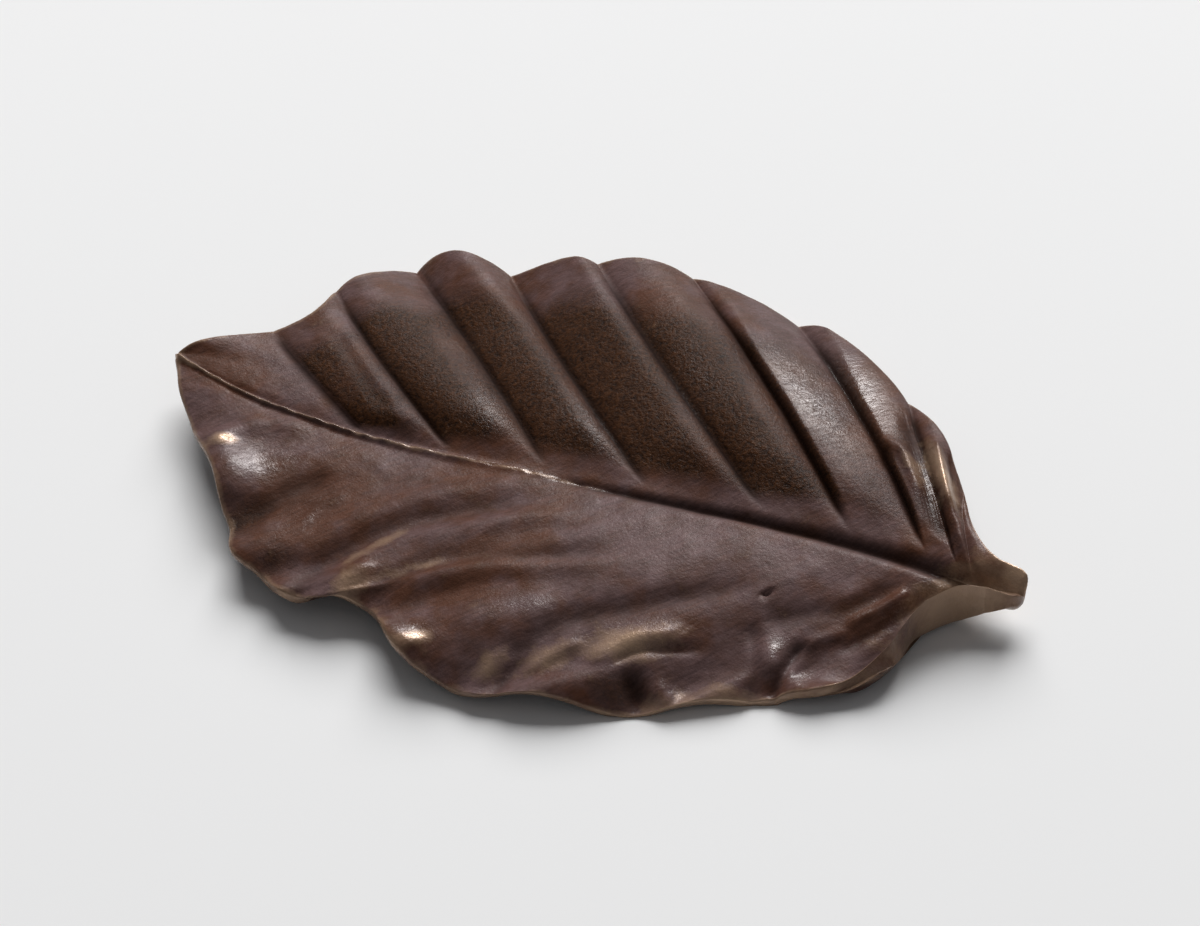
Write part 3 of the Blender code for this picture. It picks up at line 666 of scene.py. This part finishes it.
dull = add(tree, "ShaderNodeMapRange", {
    "Value": fine.outputs["Fac"], "From Min": 0.3, "From Max": 0.7,
    "To Min": 0.38, "To Max": 0.5})
shine = add(tree, "ShaderNodeMath", {
    0: mask["polished"], 1: mask["rubbed"]}, operation="MAXIMUM")
gloss = add(tree, "ShaderNodeMix", {
    0: shine.outputs[0], 2: dull.outputs[0], 3: 0.3}, data_type="FLOAT")
matt = add(tree, "ShaderNodeMix", {
    0: mask["crease"], 2: gloss.outputs[0], 3: 0.9}, data_type="FLOAT")
tree.links.new(matt.outputs[0], shader.inputs["Roughness"])
shader.inputs["Specular IOR Level"].default_value = 0.12
broken = add(tree, "ShaderNodeMapRange", {
    "Value": brushing.outputs["Fac"], "From Min": 0.35, "From Max": 0.6,
    "To Min": 0.1, "To Max": 0.9})
wax = add(tree, "ShaderNodeMath", {
    0: shine.outputs[0], 1: broken.outputs[0]}, operation="MULTIPLY")
tree.links.new(wax.outputs[0], shader.inputs["Coat Weight"])
shader.inputs["Coat Roughness"].default_value = 0.24

rough_skin = add(tree, "ShaderNodeMapRange", {
    "Value": sand_and_shade_amount.outputs[0], "To Min": 0.25, "To Max": 0.9})
grit_bump = add(tree, "ShaderNodeBump", {
    "Strength": rough_skin.outputs[0], "Distance": 0.15 * MM,
    "Height": grit.outputs["Fac"]})
fine_bump = add(tree, "ShaderNodeBump", {
    "Strength": 0.4, "Distance": 0.05 * MM, "Height": fine.outputs["Fac"],
    "Normal": grit_bump.outputs[0]})
worked = add(tree, "ShaderNodeBump", {         # soft dents left in the wax
    "Strength": 0.6, "Distance": 0.16 * MM, "Height": blotches.outputs["Fac"],
    "Normal": fine_bump.outputs[0]})
brushed = add(tree, "ShaderNodeBump", {
    "Strength": 0.45, "Distance": 0.04 * MM, "Height": brushing.outputs["Fac"],
    "Normal": worked.outputs[0]})
tree.links.new(brushed.outputs[0], shader.inputs["Normal"])
tree.links.new(brushed.outputs[0], shader.inputs["Coat Normal"])
leaf_mesh.materials.append(patina)
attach(leaf, "root")
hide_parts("leaf")

# ---- Table, light and camera -------------------------------------------------
# White paper on a table. The window behind gives the soft light and shadows;
# the softbox behind on the right shows only in the glints on the bronze.
# Sizes and places are in metres here and powers in watts.
TABLE_SIZE = 3.0
WINDOW = (-0.45, 1.46, 1.27)
WINDOW_SIZE = 1.6
WINDOW_POWER = 63.0
SOFTBOX = (-0.02, 1.01, 0.65)
SOFTBOX_SIZE = 0.36
SOFTBOX_POWER = 12.0
ROOM_LIGHT = 0.17            # strength of the light from the pale walls
LENS = 150.0                 # in mm, on a sensor 36 mm wide
SENSOR = 36.0
CAMERA = (0.11209, -0.30678, 0.33078)        # looks down at 45 degrees
CAMERA_TARGET = (0.00012, 0.00083, 0.00341)
table = bmesh.new()
bmesh.ops.create_grid(table, x_segments=1, y_segments=1, size=TABLE_SIZE / 2)
table_mesh = bpy.data.meshes.new("table")
table.to_mesh(table_mesh)
table.free()
table_top = bpy.data.objects.new("table", table_mesh)
bpy.context.scene.collection.objects.link(table_top)
paper = bpy.data.materials.new("white_paper")
paper.use_nodes = True
paper_shader = paper.node_tree.nodes["Principled BSDF"]
paper_shader.inputs["Base Color"].default_value = linear("ebebeb")
paper_shader.inputs["Roughness"].default_value = 0.9
table_mesh.materials.append(paper)


def aim(thing, spot, target):
    """Place a lamp or camera at spot, pointing its -Z at target."""
    thing.location = spot
    thing.rotation_euler = (Vector(target) - Vector(spot)).to_track_quat(
        "-Z", "Y").to_euler()


def soft_lamp(name, spot, width, power):
    """A square white area lamp shining at the leaf."""
    lamp = bpy.data.lights.new(name, "AREA")
    lamp.size = width
    lamp.energy = power
    held = bpy.data.objects.new(name, lamp)
    bpy.context.scene.collection.objects.link(held)
    aim(held, spot, (0.0, 0.0, 0.0))
    return held


window = soft_lamp("window", WINDOW, WINDOW_SIZE, WINDOW_POWER)
window.visible_glossy = False
softbox = soft_lamp("softbox", SOFTBOX, SOFTBOX_SIZE, SOFTBOX_POWER)
softbox.visible_diffuse = False

room = bpy.data.worlds.new("room")
bpy.context.scene.world = room
room.use_nodes = True
walls = room.node_tree.nodes["Background"]
walls.inputs["Color"].default_value = linear("e8e8ea")
walls.inputs["Strength"].default_value = ROOM_LIGHT

view = bpy.data.cameras.new("camera")
view.lens = LENS
view.sensor_width = SENSOR
view.clip_start = 0.01
camera = bpy.data.objects.new("camera", view)
bpy.context.scene.collection.objects.link(camera)
aim(camera, CAMERA, CAMERA_TARGET)
bpy.context.scene.camera = camera
bpy.context.scene.view_settings.view_transform = "Standard"
